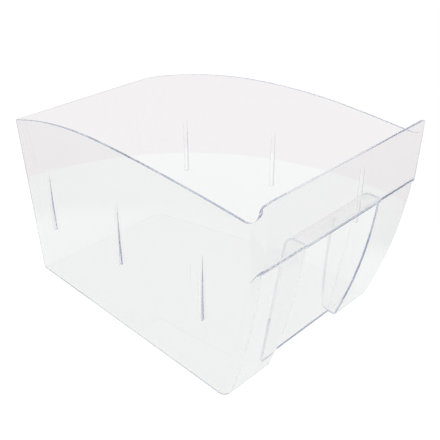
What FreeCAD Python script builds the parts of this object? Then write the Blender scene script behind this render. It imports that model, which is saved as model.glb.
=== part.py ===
"""Right-hand fridge crisper drawer: one clear injection-moulded tub.

Frame: +Z up, the front looks along -Y, millimetres.  The origin lies on the
underside of the floor, on the centre line of the front and half-way between
the front and rear bottom edges.
"""

import FreeCAD, Part
import os
import Sketcher

NODE = "drawer_tub"

# alias, value in millimetres or degrees, what it is
SIZES = (
    ("base_width", 236.5, "outer width of the front at the floor"),
    ("base_depth", 305.0, "front bottom edge to rear bottom edge"),
    ("front_height", 225.0, "floor to the top of the front band"),
    ("wall", 2.4, "moulded wall and floor thickness"),
    ("left_draft", 0.6, "lean of the straight left wall"),
    ("right_draft", 0.6, "lean of the cranked right wall"),
    ("rear_draft", 2.5, "lean of the rear wall"),
    ("crank_setback", 116.0, "front bottom edge to the crank in the right wall"),
    ("crank_angle", 15.4, "turn of the right wall behind the crank"),
    ("crank_round", 487.6, "inside blend along the crank"),
    ("front_lean", 36.0, "run-out of the lower front wall up to the band"),
    ("front_bulge", 6.0, "rise of the lower front's curve over its chord"),
    ("band_bottom", 159.0, "floor to the lower lip of the front band"),
    ("band_proud", 2.5, "step of the band out of the wall below it"),
    ("band_lean", 1.0, "run-out of the band from its lip to its top"),
    ("band_end_round", 7.4, "inside corners at the band's upright ends"),
    ("band_corner", 13.0, "rounding of the band's two top corners"),
    ("grip_width", 109.0, "width of the hand recess at its back"),
    ("grip_flare", 1.0, "splay of the hand recess's side walls"),
    ("grip_foot", 9.0, "depth of the hand recess at the floor"),
    ("grip_depth", 21.5, "depth of the hand recess under the band"),
    ("grip_round", 10.5, "rounding at the top of the hand recess's back"),
    ("grip_mouth", 1.2, "rounding of the hand recess's upright mouth"),
    ("front_corner_round", 5.6, "inside of the lower front's upright corners"),
    ("rear_right_round", 9.6, "inside of the rear corner on the cranked side"),
    ("rear_left_round", 3.0, "inside of the rear corner on the straight side"),
    ("floor_round", 1.2, "inside of the edge between walls and floor"),
    ("rim_crest_height", 213.3, "highest point of the side rims"),
    ("rim_crest_setback", 161.0, "front bottom edge to the highest rim point"),
    ("rim_rear_height", 189.5, "rim of the rear wall"),
    ("rim_front_height", 205.5, "side rims where they meet the front"),
    ("rim_front_round", 13.0, "upward sweep of the side rims into the front"),
    ("lug_setback", 27.0, "front bottom edge to the first stacking lug"),
    ("lug_pitch", 116.5, "distance from lug to lug"),
    ("stack_step", 128.0, "rim down to the lug that rests on the next rim"),
    ("lug_height", 72.0, "lower end of a lug to its vanishing top"),
    ("lug_width", 5.0, "width of a lug along the wall"),
    ("lug_proud", 3.4, "how far a lug's lower end stands off the wall"),
)
LUGS_PER_SIDE = 3

doc = FreeCAD.newDocument("crisper_drawer")
sheet = doc.addObject("Spreadsheet::Sheet", "Sizes")
for row, (alias, size, meaning) in enumerate(SIZES, start=1):
    sheet.set(f"A{row}", meaning)
    sheet.set(f"B{row}", str(size))
    sheet.setAlias(f"B{row}", alias)
doc.recompute()

# Places that several features share, as expressions over the sheet.
HALF_WIDTH = "(Sizes.base_width / 2)"
FRONT_Y = "(-Sizes.base_depth / 2)"
REAR_Y = "(Sizes.base_depth / 2)"
LIP_Y = f"({FRONT_Y} - Sizes.front_lean)"
BAND_Y = f"({LIP_Y} - Sizes.band_proud)"
BAND_TOP_Y = f"({BAND_Y} - Sizes.band_lean)"
CRANK_Y = f"({FRONT_Y} + Sizes.crank_setback)"
# Cutting profiles reach past the solid that they trim by this much.
CLEAR = "(10 * Sizes.wall)"
AHEAD_Y = f"({BAND_TOP_Y} - 2 * {CLEAR})"
BELOW = f"(-{CLEAR})"
ABOVE = f"(Sizes.front_height + {CLEAR})"
THROUGH = "2 * Sizes.base_width"


def value(expression):
    """The number that an expression over the sheet gives now."""
    return float(sheet.evalExpression(expression))


def origin_plane(body, role):
    """One of the planes through a body's origin."""
    return next(feature for feature in body.Origin.OriginFeatures if feature.Role == role)


def new_sketch(body, name, plane, shift="0"):
    """An empty sketch on an origin plane of the body, shifted along its normal."""
    sketch = body.newObject("Sketcher::SketchObject", name)
    sketch.AttachmentSupport = [(origin_plane(body, plane), "")]
    sketch.MapMode = "FlatFace"
    sketch.setExpression("AttachmentOffset.Base.z", shift)
    return sketch


def bind(sketch, constraint, expression):
    """Add a constraint whose value follows an expression."""
    index = sketch.addConstraint(constraint)
    sketch.setExpression(f"Constraints[{index}]", expression)


def outline(sketch, corners, arcs=None):
    """A closed profile through corners given as pairs of expressions.

    arcs maps the index of a corner to (radius expression, side): the edge that
    starts there is then an arc with its centre on that side of travel.
    """
    arcs = arcs or {}
    points = [FreeCAD.Vector(value(x), value(y), 0) for x, y in corners]
    starts, ends = [], []
    for index, start in enumerate(points):
        end = points[(index + 1) % len(points)]
        if index not in arcs:
            edge = sketch.addGeometry(Part.LineSegment(start, end), False)
            starts.append((edge, 1))
            ends.append((edge, 2))
            continue
        radius_expression, side = arcs[index]
        radius = value(radius_expression)
        chord = end - start
        normal = FreeCAD.Vector(-chord.y, chord.x, 0).normalize()
        rise = max(radius ** 2 - chord.Length ** 2 / 4, 0.0) ** 0.5
        centre = (start + end) * 0.5 + normal * (rise if side == "left" else -rise)
        circle = Part.Circle(centre, FreeCAD.Vector(0, 0, 1), radius)
        run = (start, end) if side == "left" else (end, start)
        arc = Part.ArcOfCircle(circle, circle.parameter(run[0]), circle.parameter(run[1]))
        edge = sketch.addGeometry(arc, False)
        starts.append((edge, 1 if side == "left" else 2))
        ends.append((edge, 2 if side == "left" else 1))
        bind(sketch, Sketcher.Constraint("Radius", edge, radius), radius_expression)
    for index, (x, y) in enumerate(corners):
        at = starts[index]
        sketch.addConstraint(Sketcher.Constraint("Coincident", *ends[index - 1], *at))
        bind(sketch, Sketcher.Constraint("DistanceX", -1, 1, *at, points[index].x), x)
        bind(sketch, Sketcher.Constraint("DistanceY", -1, 1, *at, points[index].y), y)


def extrude(body, kind, sketch, length):
    """A Pad or Pocket of the sketch, as far to one side of its plane as to the other."""
    before = body.Tip.Shape.Volume
    feature = body.newObject(f"PartDesign::{kind}", f"{sketch.Name}{kind}")
    feature.Profile = sketch
    feature.SideType = "Symmetric"
    feature.setExpression("Length", length)
    doc.recompute()
    gain = feature.Shape.Volume - before
    if (kind == "Pocket") != (gain < 0):
        raise RuntimeError(f"{feature.Name} changes nothing")


def draft(body, name, faces, angle):
    """Lean faces of the newest feature outwards, turned about the floor's underside."""
    feature = body.newObject("PartDesign::Draft", name)
    feature.Base = (feature.BaseFeature, faces)
    feature.NeutralPlane = (origin_plane(body, "XY_Plane"), [""])
    feature.Reversed = True
    feature.setExpression("Angle", angle)
    doc.recompute()


def fillet(body, name, edges, radius):
    """Round edges of the newest feature."""
    feature = body.newObject("PartDesign::Fillet", name)
    feature.Base = (feature.BaseFeature, edges)
    feature.setExpression("Radius", radius)
    doc.recompute()


def faces_towards(body, x, y):
    """Names of the newest feature's faces that look within 30 degrees of a level direction."""
    direction = FreeCAD.Vector(x, y, 0)
    faces = enumerate(body.Tip.Shape.Faces, start=1)
    return [f"Face{number}" for number, face in faces if face.normalAt(0, 0).dot(direction) > 0.86]


def middle(edge):
    """The point half-way along an edge."""
    return edge.valueAt((edge.FirstParameter + edge.LastParameter) / 2)


def upright_edge(body, x, y, z):
    """Name of the newest feature's tall edge that starts nearest to one corner."""
    corner = FreeCAD.Vector(value(x), value(y), value(z))

    def miss(numbered):
        ends = sorted((vertex.Point for vertex in numbered[1].Vertexes), key=lambda point: point.z)
        tall = ends[-1].z - ends[0].z > value("Sizes.wall")
        return ends[0].distanceToPoint(corner) if tall else float("inf")

    return f"Edge{min(enumerate(body.Tip.Shape.Edges, start=1), key=miss)[0]}"


def nearest_edge(body, x, y, z):
    """Name of the newest feature's edge whose middle lies nearest to one point."""
    place = FreeCAD.Vector(value(x), value(y), value(z))
    edges = enumerate(body.Tip.Shape.Edges, start=1)
    return f"Edge{min(edges, key=lambda numbered: middle(numbered[1]).distanceToPoint(place))[0]}"


def level_edges(body, z):
    """Names of the newest feature's edges that lie level at one height."""
    height = value(z)
    names = []
    for number, edge in enumerate(body.Tip.Shape.Edges, start=1):
        points = [vertex.Point for vertex in edge.Vertexes] + [middle(edge)]
        if max(abs(point.z - height) for point in points) < 1e-3:
            names.append(f"Edge{number}")
    return names


def recess_solid(name, inset):
    """The hand recess, which runs up the front from the floor and ends under the band."""
    body = doc.addObject("PartDesign::Body", name)
    head_y = f"({LIP_Y} + Sizes.grip_depth)"
    lean = f"(({FRONT_Y} + Sizes.grip_foot - {head_y}) / Sizes.band_bottom)"
    back_y = f"({head_y} + {inset} - {lean} * {inset})"
    back_x = f"(Sizes.grip_width / 2 + {inset} * (1 / cos(Sizes.grip_flare) - tan(Sizes.grip_flare)))"
    mouth_x = f"({back_x} + ({back_y} - {AHEAD_Y}) * tan(Sizes.grip_flare))"
    top = f"(Sizes.band_bottom + {inset})"
    plan = new_sketch(body, f"{name}Plan", "XY_Plane", top)
    outline(plan, (
        (f"-{back_x}", back_y),
        (f"-{mouth_x}", AHEAD_Y),
        (mouth_x, AHEAD_Y),
        (back_x, back_y),
    ))
    prism = body.newObject("PartDesign::Pad", f"{name}Prism")
    prism.Profile = plan
    prism.UseCustomVector = True
    prism.Direction = FreeCAD.Vector(0, 0, -1)
    prism.setExpression("Direction.y", lean)
    prism.AlongSketchNormal = True
    prism.setExpression("Length", f"{top} + {CLEAR}")
    doc.recompute()
    fillet(body, f"{name}Top", [nearest_edge(body, "0", back_y, top)], f"Sizes.grip_round + {inset}")
    return body


def tub_solid(name, inset):
    """The tub's outside as a solid, or its hollow where inset is the wall."""
    body = doc.addObject("PartDesign::Body", name)
    left_x = f"(-{HALF_WIDTH} + {inset})"
    right_x = f"({HALF_WIDTH} - {inset})"
    rear_y = f"({REAR_Y} - {inset})"
    turn = f"(({REAR_Y} - {CRANK_Y}) * tan(Sizes.crank_angle))"
    rear_right_x = f"({right_x} - {turn})"

    # The plan of the floor, drawn on past the front, which is cut to shape next.
    plan = new_sketch(body, f"{name}Plan", "XY_Plane", inset)
    outline(plan, (
        (left_x, f"{AHEAD_Y} + {CLEAR}"),
        (right_x, f"{AHEAD_Y} + {CLEAR}"),
        (right_x, CRANK_Y),
        (rear_right_x, rear_y),
        (left_x, rear_y),
    ))
    block = body.newObject("PartDesign::Pad", f"{name}Block")
    block.Profile = plan
    block.setExpression("Length", f"{ABOVE} - {inset}")
    doc.recompute()
    draft(body, f"{name}LeftDraft", faces_towards(body, -1, 0), "Sizes.left_draft")
    draft(body, f"{name}RightDraft", faces_towards(body, 1, 0), "Sizes.right_draft")
    draft(body, f"{name}RearDraft", faces_towards(body, 0, 1), "Sizes.rear_draft")

    # A lower front that curves forward, a lip that is eased inside, and a steep band above it.
    lip_z = "Sizes.band_bottom"
    band_foot_z = f"(Sizes.band_bottom + 2 * {inset})"
    chord = f"(Sizes.front_lean ^ 2 + {lip_z} ^ 2)"
    radius = f"({chord} / 4 + Sizes.front_bulge ^ 2) / (2 * Sizes.front_bulge)"
    front = new_sketch(body, f"{name}Front", "YZ_Plane")
    outline(front, (
        (f"{FRONT_Y} + {inset}", "0"),
        (f"{LIP_Y} + {inset}", lip_z),
        (f"{BAND_Y} + {inset}", band_foot_z),
        (f"{BAND_TOP_Y} + {inset}", "Sizes.front_height"),
        (f"{BAND_TOP_Y} + {inset}", f"{ABOVE} + {CLEAR}"),
        (AHEAD_Y, f"{ABOVE} + {CLEAR}"),
        (AHEAD_Y, BELOW),
        (f"{FRONT_Y} + {inset}", BELOW),
    ), {0: (radius, "right")})
    extrude(body, "Pocket", front, THROUGH)

    # Blends round the walls and the floor keep the wall's thickness.
    fillet(body, f"{name}Crank", [upright_edge(body, right_x, CRANK_Y, inset)],
           f"Sizes.crank_round + Sizes.wall - {inset}")
    front_corners = [upright_edge(body, x, f"{FRONT_Y} + {inset}", inset) for x in (left_x, right_x)]
    fillet(body, f"{name}FrontCorners", front_corners, f"Sizes.front_corner_round + Sizes.wall - {inset}")
    fillet(body, f"{name}RearRight", [upright_edge(body, rear_right_x, rear_y, inset)],
           f"Sizes.rear_right_round + Sizes.wall - {inset}")
    fillet(body, f"{name}RearLeft", [upright_edge(body, left_x, rear_y, inset)],
           f"Sizes.rear_left_round + Sizes.wall - {inset}")
    band_ends = [upright_edge(body, x, f"{BAND_Y} + {inset}", band_foot_z) for x in (left_x, right_x)]
    fillet(body, f"{name}BandEnds", band_ends, f"Sizes.band_end_round + Sizes.wall - {inset}")
    fillet(body, f"{name}Floor", level_edges(body, inset), f"Sizes.floor_round + Sizes.wall - {inset}")

    # The hand recess, whose walls are as thick as the others.
    cut = body.newObject("PartDesign::Boolean", f"{name}GripCut")
    cut.Type = "Cut"
    cut.setObjects([recess_solid(f"{name}Grip", inset)])
    doc.recompute()
    return body


outside = tub_solid("Outside", "0")
hollow = tub_solid("Hollow", "Sizes.wall")

# The recess's mouth is soft to the hand.
MOUTH_Y = f"({FRONT_Y} - Sizes.front_lean / 2 - Sizes.front_bulge)"
mouth = [nearest_edge(outside, x, MOUTH_Y, "Sizes.band_bottom / 2")
         for x in ("-Sizes.grip_width / 2", "Sizes.grip_width / 2")]
fillet(outside, "Mouth", mouth, "Sizes.grip_mouth")

# The rim: level across the front, low behind it, arched along the sides, lowest at the rear.
SWEEP_Y = f"({BAND_Y} + Sizes.wall)"
DIP_Y = f"({SWEEP_Y} + Sizes.rim_front_round)"
CREST_Y = f"({FRONT_Y} + Sizes.rim_crest_setback)"
BACK_Y = f"({REAR_Y} + tan(Sizes.rear_draft) * Sizes.rim_rear_height)"
FRONT_RISE = "(Sizes.rim_crest_height - Sizes.rim_front_height)"
REAR_FALL = "(Sizes.rim_crest_height - Sizes.rim_rear_height)"
FRONT_ARCH = f"((({CREST_Y} - {DIP_Y}) ^ 2 + {FRONT_RISE} ^ 2) / (2 * {FRONT_RISE}))"
REAR_ARCH = f"((({BACK_Y} - {CREST_Y}) ^ 2 + {REAR_FALL} ^ 2) / (2 * {REAR_FALL}))"
rim = new_sketch(outside, "Rim", "YZ_Plane")
outline(rim, (
    (AHEAD_Y, "Sizes.front_height"),
    (SWEEP_Y, "Sizes.front_height"),
    (SWEEP_Y, "Sizes.rim_front_height + Sizes.rim_front_round"),
    (DIP_Y, "Sizes.rim_front_height"),
    (CREST_Y, "Sizes.rim_crest_height"),
    (BACK_Y, "Sizes.rim_rear_height"),
    (f"{BACK_Y} + {CLEAR}", "Sizes.rim_rear_height"),
    (f"{BACK_Y} + {CLEAR}", f"{ABOVE} + {CLEAR}"),
    (AHEAD_Y, f"{ABOVE} + {CLEAR}"),
), {2: ("Sizes.rim_front_round", "left"), 3: (FRONT_ARCH, "right"), 4: (REAR_ARCH, "right")})
extrude(outside, "Pocket", rim, THROUGH)

# Rounded top corners at both ends of the band.
for side, name, lean in ((-1, "Left", "Sizes.left_draft"), (1, "Right", "Sizes.right_draft")):
    end_x = f"({HALF_WIDTH} + tan({lean}) * Sizes.front_height)"
    corner = new_sketch(outside, f"{name}BandCorner", "XZ_Plane", f"-{BAND_TOP_Y}")
    profile = (
        (f"{side} * ({end_x} - Sizes.band_corner)", "Sizes.front_height"),
        (f"{side} * {end_x}", "Sizes.front_height - Sizes.band_corner"),
        (f"{side} * ({end_x} + {CLEAR})", "Sizes.front_height - Sizes.band_corner"),
        (f"{side} * ({end_x} + {CLEAR})", ABOVE),
        (f"{side} * ({end_x} - Sizes.band_corner)", ABOVE),
    )
    outline(corner, profile, {0: ("Sizes.band_corner", "right" if side > 0 else "left")})
    extrude(outside, "Pocket", corner, "2 * (Sizes.wall + Sizes.band_lean + Sizes.rim_front_round)")


def rim_height(y):
    """Height of the side rim over one place, as an expression."""
    front = f"Sizes.rim_crest_height - {FRONT_ARCH} + sqrt({FRONT_ARCH} ^ 2 - ({y} - {CREST_Y}) ^ 2)"
    rear = f"Sizes.rim_crest_height - {REAR_ARCH} + sqrt({REAR_ARCH} ^ 2 - ({y} - {CREST_Y}) ^ 2)"
    return f"({y} < {CREST_Y} ? {front} : {rear})"


# Plan of the right wall's outside: straight, then an arc, then straight again.
BLEND = "(Sizes.crank_round + Sizes.wall)"
BLEND_START = f"({CRANK_Y} - {BLEND} * tan(Sizes.crank_angle / 2))"
BLEND_END = f"({CRANK_Y} + {BLEND} * tan(Sizes.crank_angle / 2) * cos(Sizes.crank_angle))"


def right_wall_turn(y):
    """Angle of the right wall to the front-to-rear direction at one place."""
    on_arc = f"asin(({y} - {BLEND_START}) / {BLEND})"
    return f"({y} < {BLEND_START} ? 0 deg : ({y} < {BLEND_END} ? {on_arc} : Sizes.crank_angle * 1 deg))"


def right_wall_x(y):
    """Place of the right wall's outside at floor level."""
    on_arc = f"{BLEND} - sqrt({BLEND} ^ 2 - ({y} - {BLEND_START}) ^ 2)"
    behind = f"({y} - {CRANK_Y}) * tan(Sizes.crank_angle)"
    return f"({HALF_WIDTH} - ({y} < {BLEND_START} ? 0 : ({y} < {BLEND_END} ? {on_arc} : {behind})))"


def lug(name, x, y, turn, lean):
    """A wedge on the outside of a wall that stops one tub from jamming in the next."""
    bottom = f"({rim_height(y)} - Sizes.stack_step)"
    top = f"({bottom} + Sizes.lug_height)"
    sketch = new_sketch(outside, name, "XZ_Plane", f"-({y})")
    upright = FreeCAD.Rotation(FreeCAD.Vector(0, 1, 0), 0)
    sketch.AttachmentOffset = FreeCAD.Placement(FreeCAD.Vector(), upright)
    sketch.setExpression("AttachmentOffset.Base.x", x)
    sketch.setExpression("AttachmentOffset.Rotation.Angle", turn)
    root = "Sizes.wall / 2"
    outline(sketch, (
        (f"{bottom} * tan({lean}) - {root}", bottom),
        (f"{bottom} * tan({lean}) + Sizes.lug_proud", bottom),
        (f"{top} * tan({lean})", top),
        (f"{top} * tan({lean}) - {root}", top),
    ))
    extrude(outside, "Pad", sketch, "Sizes.lug_width")


for index in range(LUGS_PER_SIDE):
    lug_y = f"({FRONT_Y} + Sizes.lug_setback + {index} * Sizes.lug_pitch)"
    lug(f"LeftLug{index}", f"-{HALF_WIDTH}", lug_y, "180 deg", "Sizes.left_draft")
    lug(f"RightLug{index}", right_wall_x(lug_y), lug_y, right_wall_turn(lug_y), "Sizes.right_draft")

drawer = doc.addObject("Part::Cut", "Drawer")
drawer.Base = outside
drawer.Tool = hollow
drawer.Label = NODE
doc.recompute()

failed = [item.Name for item in doc.Objects if {"Invalid", "Error"} & set(item.State)]
if failed:
    raise RuntimeError(f"failed features: {failed}")
if drawer.Shape.isNull() or not drawer.Shape.isValid() or len(drawer.Shape.Solids) != 1:
    raise RuntimeError(f"{NODE} is not one valid solid")
os.makedirs("parts", exist_ok=True)
drawer.Shape.exportStep(f"parts/{NODE}.step")
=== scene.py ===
"""Looks of the clear crisper drawer: polished plastic on a white studio table, as photographed."""

import math

import bpy
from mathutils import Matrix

NODE = "drawer_tub"

# The photograph's frame and the camera that was fitted to it.
PHOTO_SIDE_PX = 440
FOCAL_PX = 689.1
SENSOR_MM = 36.0
CAMERA_PLACE = (-0.45425, -0.4791, 0.4815)
CAMERA_PITCH_DEG = 31.267
CAMERA_YAW_DEG = 45.375
CLIP_START = 0.01

# Clear polystyrene: how it bends light, what a surface lets through, and the tint inside it.
PLASTIC_IOR = 1.57
CLARITY = (0.976, 0.976, 0.976)
TINT = (0.57, 0.635, 0.765)
TINT_DENSITY = 2.6

# Traces of moulding: the walls aren't quite flat, the polish varies a little, no edge is sharp.
WAVE_SCALE = 22.0
WAVE_DEPTH = 0.00002
POLISH_SCALE = 9.0
POLISH_NOISE = (0.4, 0.7)
POLISH_ROUGHNESS = (0.0, 0.012)
EDGE_ROUND = 0.0008
EDGE_SAMPLES = 8

# Light runs along the walls, so paths through the plastic are long.
LIGHT_BOUNCES = 256

# A round white table in a dimmer room. The camera sees both as white, and their own tones show
# only in and through the plastic. Mirrored, the table's glow is painted dimmer within its edge:
# a painted reflection of the dimmer room.
WHITE = (1.0, 1.0, 1.0)
TABLE_TONE = (0.965, 0.98, 0.969)
ROOM_TONE = (0.932, 0.914, 0.921)
TABLE_CENTRE = (-0.05, -0.01, 0.0)
TABLE_RADII = (0.383, 0.387)
PAINTED_DIM_RADII = (0.265, 0.335)
PAINTED_DIM_REFLECTION = 0.57

# The floor's matt share takes the shadow, and the rest glows. The base stands a hair above it,
# as a moulding does, so that light which runs in the base stays there.
FLOOR_SIDE = 12.0
FLOOR_GAP = 0.0003
FLOOR_MATT = 0.1
FLOOR_SEEN = 1.13


def shader(name):
    """A new material with an empty node tree, and its output node."""
    material = bpy.data.materials.new(name)
    material.use_nodes = True
    tree = material.node_tree
    tree.nodes.clear()
    return material, tree, tree.nodes.new("ShaderNodeOutputMaterial")


def math_node(tree, operation, *values):
    """The result of a Math node, whose inputs are other results or plain numbers."""
    node = tree.nodes.new("ShaderNodeMath")
    node.operation = operation
    for socket, value in zip(node.inputs, values):
        if isinstance(value, float):
            socket.default_value = value
        else:
            tree.links.new(value, socket)
    return node.outputs["Value"]


def slope(tree, value, start, end, low, high):
    """A value mapped so that it runs smoothly from low at start to high at end."""
    node = tree.nodes.new("ShaderNodeMapRange")
    node.interpolation_type = "SMOOTHSTEP"
    limits = {"From Min": start, "From Max": end, "To Min": low, "To Max": high}
    for name, limit in limits.items():
        node.inputs[name].default_value = limit
    tree.links.new(value, node.inputs["Value"])
    return node.outputs["Result"]


def mixed_tone(tree, share, first, second):
    """A colour that goes from the first to the second as the share goes from 0 to 1."""
    node = tree.nodes.new("ShaderNodeMixRGB")
    node.inputs["Color1"].default_value = (*first, 1.0)
    node.inputs["Color2"].default_value = (*second, 1.0)
    tree.links.new(share, node.inputs["Fac"])
    return node.outputs["Color"]


def noise(tree, place, scale):
    """A soft random field."""
    node = tree.nodes.new("ShaderNodeTexNoise")
    node.inputs["Scale"].default_value = scale
    tree.links.new(place, node.inputs["Vector"])
    return node.outputs["Fac"]


def clear_plastic():
    """Polished clear plastic that shows its cool tint where light runs far through it."""
    material, tree, output = shader("clear_plastic")
    place = tree.nodes.new("ShaderNodeTexCoord").outputs["Object"]
    surface = tree.nodes.new("ShaderNodeBsdfPrincipled")
    surface.inputs["Base Color"].default_value = (*CLARITY, 1.0)
    surface.inputs["IOR"].default_value = PLASTIC_IOR
    surface.inputs["Transmission Weight"].default_value = 1.0
    tree.links.new(surface.outputs["BSDF"], output.inputs["Surface"])
    polish = noise(tree, place, POLISH_SCALE)
    gloss = slope(tree, polish, *POLISH_NOISE, *POLISH_ROUGHNESS)
    tree.links.new(gloss, surface.inputs["Roughness"])
    waves = tree.nodes.new("ShaderNodeBump")
    waves.inputs["Distance"].default_value = WAVE_DEPTH
    tree.links.new(noise(tree, place, WAVE_SCALE), waves.inputs["Height"])
    tree.links.new(waves.outputs["Normal"], surface.inputs["Normal"])
    edges = tree.nodes.new("ShaderNodeBevel")
    edges.samples = EDGE_SAMPLES
    edges.inputs["Radius"].default_value = EDGE_ROUND
    tree.links.new(edges.outputs["Normal"], waves.inputs["Normal"])
    volume = tree.nodes.new("ShaderNodeVolumeAbsorption")
    volume.inputs["Color"].default_value = (*TINT, 1.0)
    volume.inputs["Density"].default_value = TINT_DENSITY
    tree.links.new(volume.outputs["Volume"], output.inputs["Volume"])
    return material


def pale_floor():
    """A floor that photographs as white, keeps a soft shadow, and has its tones in the plastic,
    with its glow painted dimmer in reflections further out.
    """
    material, tree, output = shader("white_floor")
    matt = tree.nodes.new("ShaderNodeBsdfDiffuse")
    matt.inputs["Color"].default_value = (FLOOR_MATT, FLOOR_MATT, FLOOR_MATT, 1.0)
    reach = tree.nodes.new("ShaderNodeVectorMath")
    reach.operation = "DISTANCE"
    reach.inputs[1].default_value = TABLE_CENTRE
    position = tree.nodes.new("ShaderNodeNewGeometry").outputs["Position"]
    tree.links.new(position, reach.inputs[0])
    distance = reach.outputs["Value"]
    table, room = ([part - FLOOR_MATT for part in tone] for tone in (TABLE_TONE, ROOM_TONE))
    outside = slope(tree, distance, *TABLE_RADII, 0.0, 1.0)
    # Painted reflection: glossy rays see the floor's glow painted dimmer beyond the inner radius,
    # standing in for the dimmer room.
    painted_dim_reflection_share = slope(tree, distance, *PAINTED_DIM_RADII, 1.0, PAINTED_DIM_REFLECTION)
    # A refracted ray counts as glossy and as transmitted, so the larger of the two shares holds.
    path = tree.nodes.new("ShaderNodeLightPath").outputs
    strength = math_node(tree, "MULTIPLY", path["Is Glossy Ray"], painted_dim_reflection_share)
    strength = math_node(tree, "MAXIMUM", path["Is Transmission Ray"], strength)
    strength = math_node(tree, "MULTIPLY_ADD", path["Is Camera Ray"], FLOOR_SEEN, strength)
    glow = tree.nodes.new("ShaderNodeEmission")
    tree.links.new(mixed_tone(tree, outside, table, room), glow.inputs["Color"])
    tree.links.new(strength, glow.inputs["Strength"])
    both = tree.nodes.new("ShaderNodeAddShader")
    tree.links.new(matt.outputs["BSDF"], both.inputs[0])
    tree.links.new(glow.outputs["Emission"], both.inputs[1])
    tree.links.new(both.outputs["Shader"], output.inputs["Surface"])
    bpy.ops.mesh.primitive_plane_add(size=FLOOR_SIDE, location=(0.0, 0.0, -FLOOR_GAP))
    floor = bpy.context.object
    floor.name = "floor"
    floor.data.materials.append(material)


def even_surround():
    """Soft light from all sides: white to the camera, and the room's tone in the plastic."""
    world = bpy.data.worlds.new("studio")
    bpy.context.scene.world = world
    world.use_nodes = True
    tree = world.node_tree
    seen = tree.nodes.new("ShaderNodeLightPath").outputs["Is Camera Ray"]
    background = tree.nodes["Background"]
    tree.links.new(mixed_tone(tree, seen, ROOM_TONE, WHITE), background.inputs["Color"])
    background.inputs["Strength"].default_value = 1.0


def photo_camera():
    """The photograph's view."""
    data = bpy.data.cameras.new("photo_view")
    data.sensor_width = SENSOR_MM
    data.lens = FOCAL_PX * SENSOR_MM / PHOTO_SIDE_PX
    data.clip_start = CLIP_START
    view = bpy.data.objects.new("photo_view", data)
    view.location = CAMERA_PLACE
    tilt = math.radians(90.0 - CAMERA_PITCH_DEG)
    view.rotation_euler = (tilt, 0.0, -math.radians(CAMERA_YAW_DEG))
    bpy.context.scene.collection.objects.link(view)
    bpy.context.scene.camera = view


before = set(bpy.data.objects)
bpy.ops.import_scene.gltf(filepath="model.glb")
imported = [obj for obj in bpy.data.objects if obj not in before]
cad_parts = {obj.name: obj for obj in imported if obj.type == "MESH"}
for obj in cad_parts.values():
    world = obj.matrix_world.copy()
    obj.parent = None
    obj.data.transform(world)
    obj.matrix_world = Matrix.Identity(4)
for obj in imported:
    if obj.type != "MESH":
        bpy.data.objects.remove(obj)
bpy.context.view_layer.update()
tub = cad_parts[NODE]
tub.data.materials.clear()
tub.data.materials.append(clear_plastic())

even_surround()
pale_floor()
photo_camera()
scene = bpy.context.scene
scene.view_settings.view_transform = "Standard"
for kind in ("max_bounces", "glossy_bounces", "transmission_bounces"):
    setattr(scene.cycles, kind, LIGHT_BOUNCES)
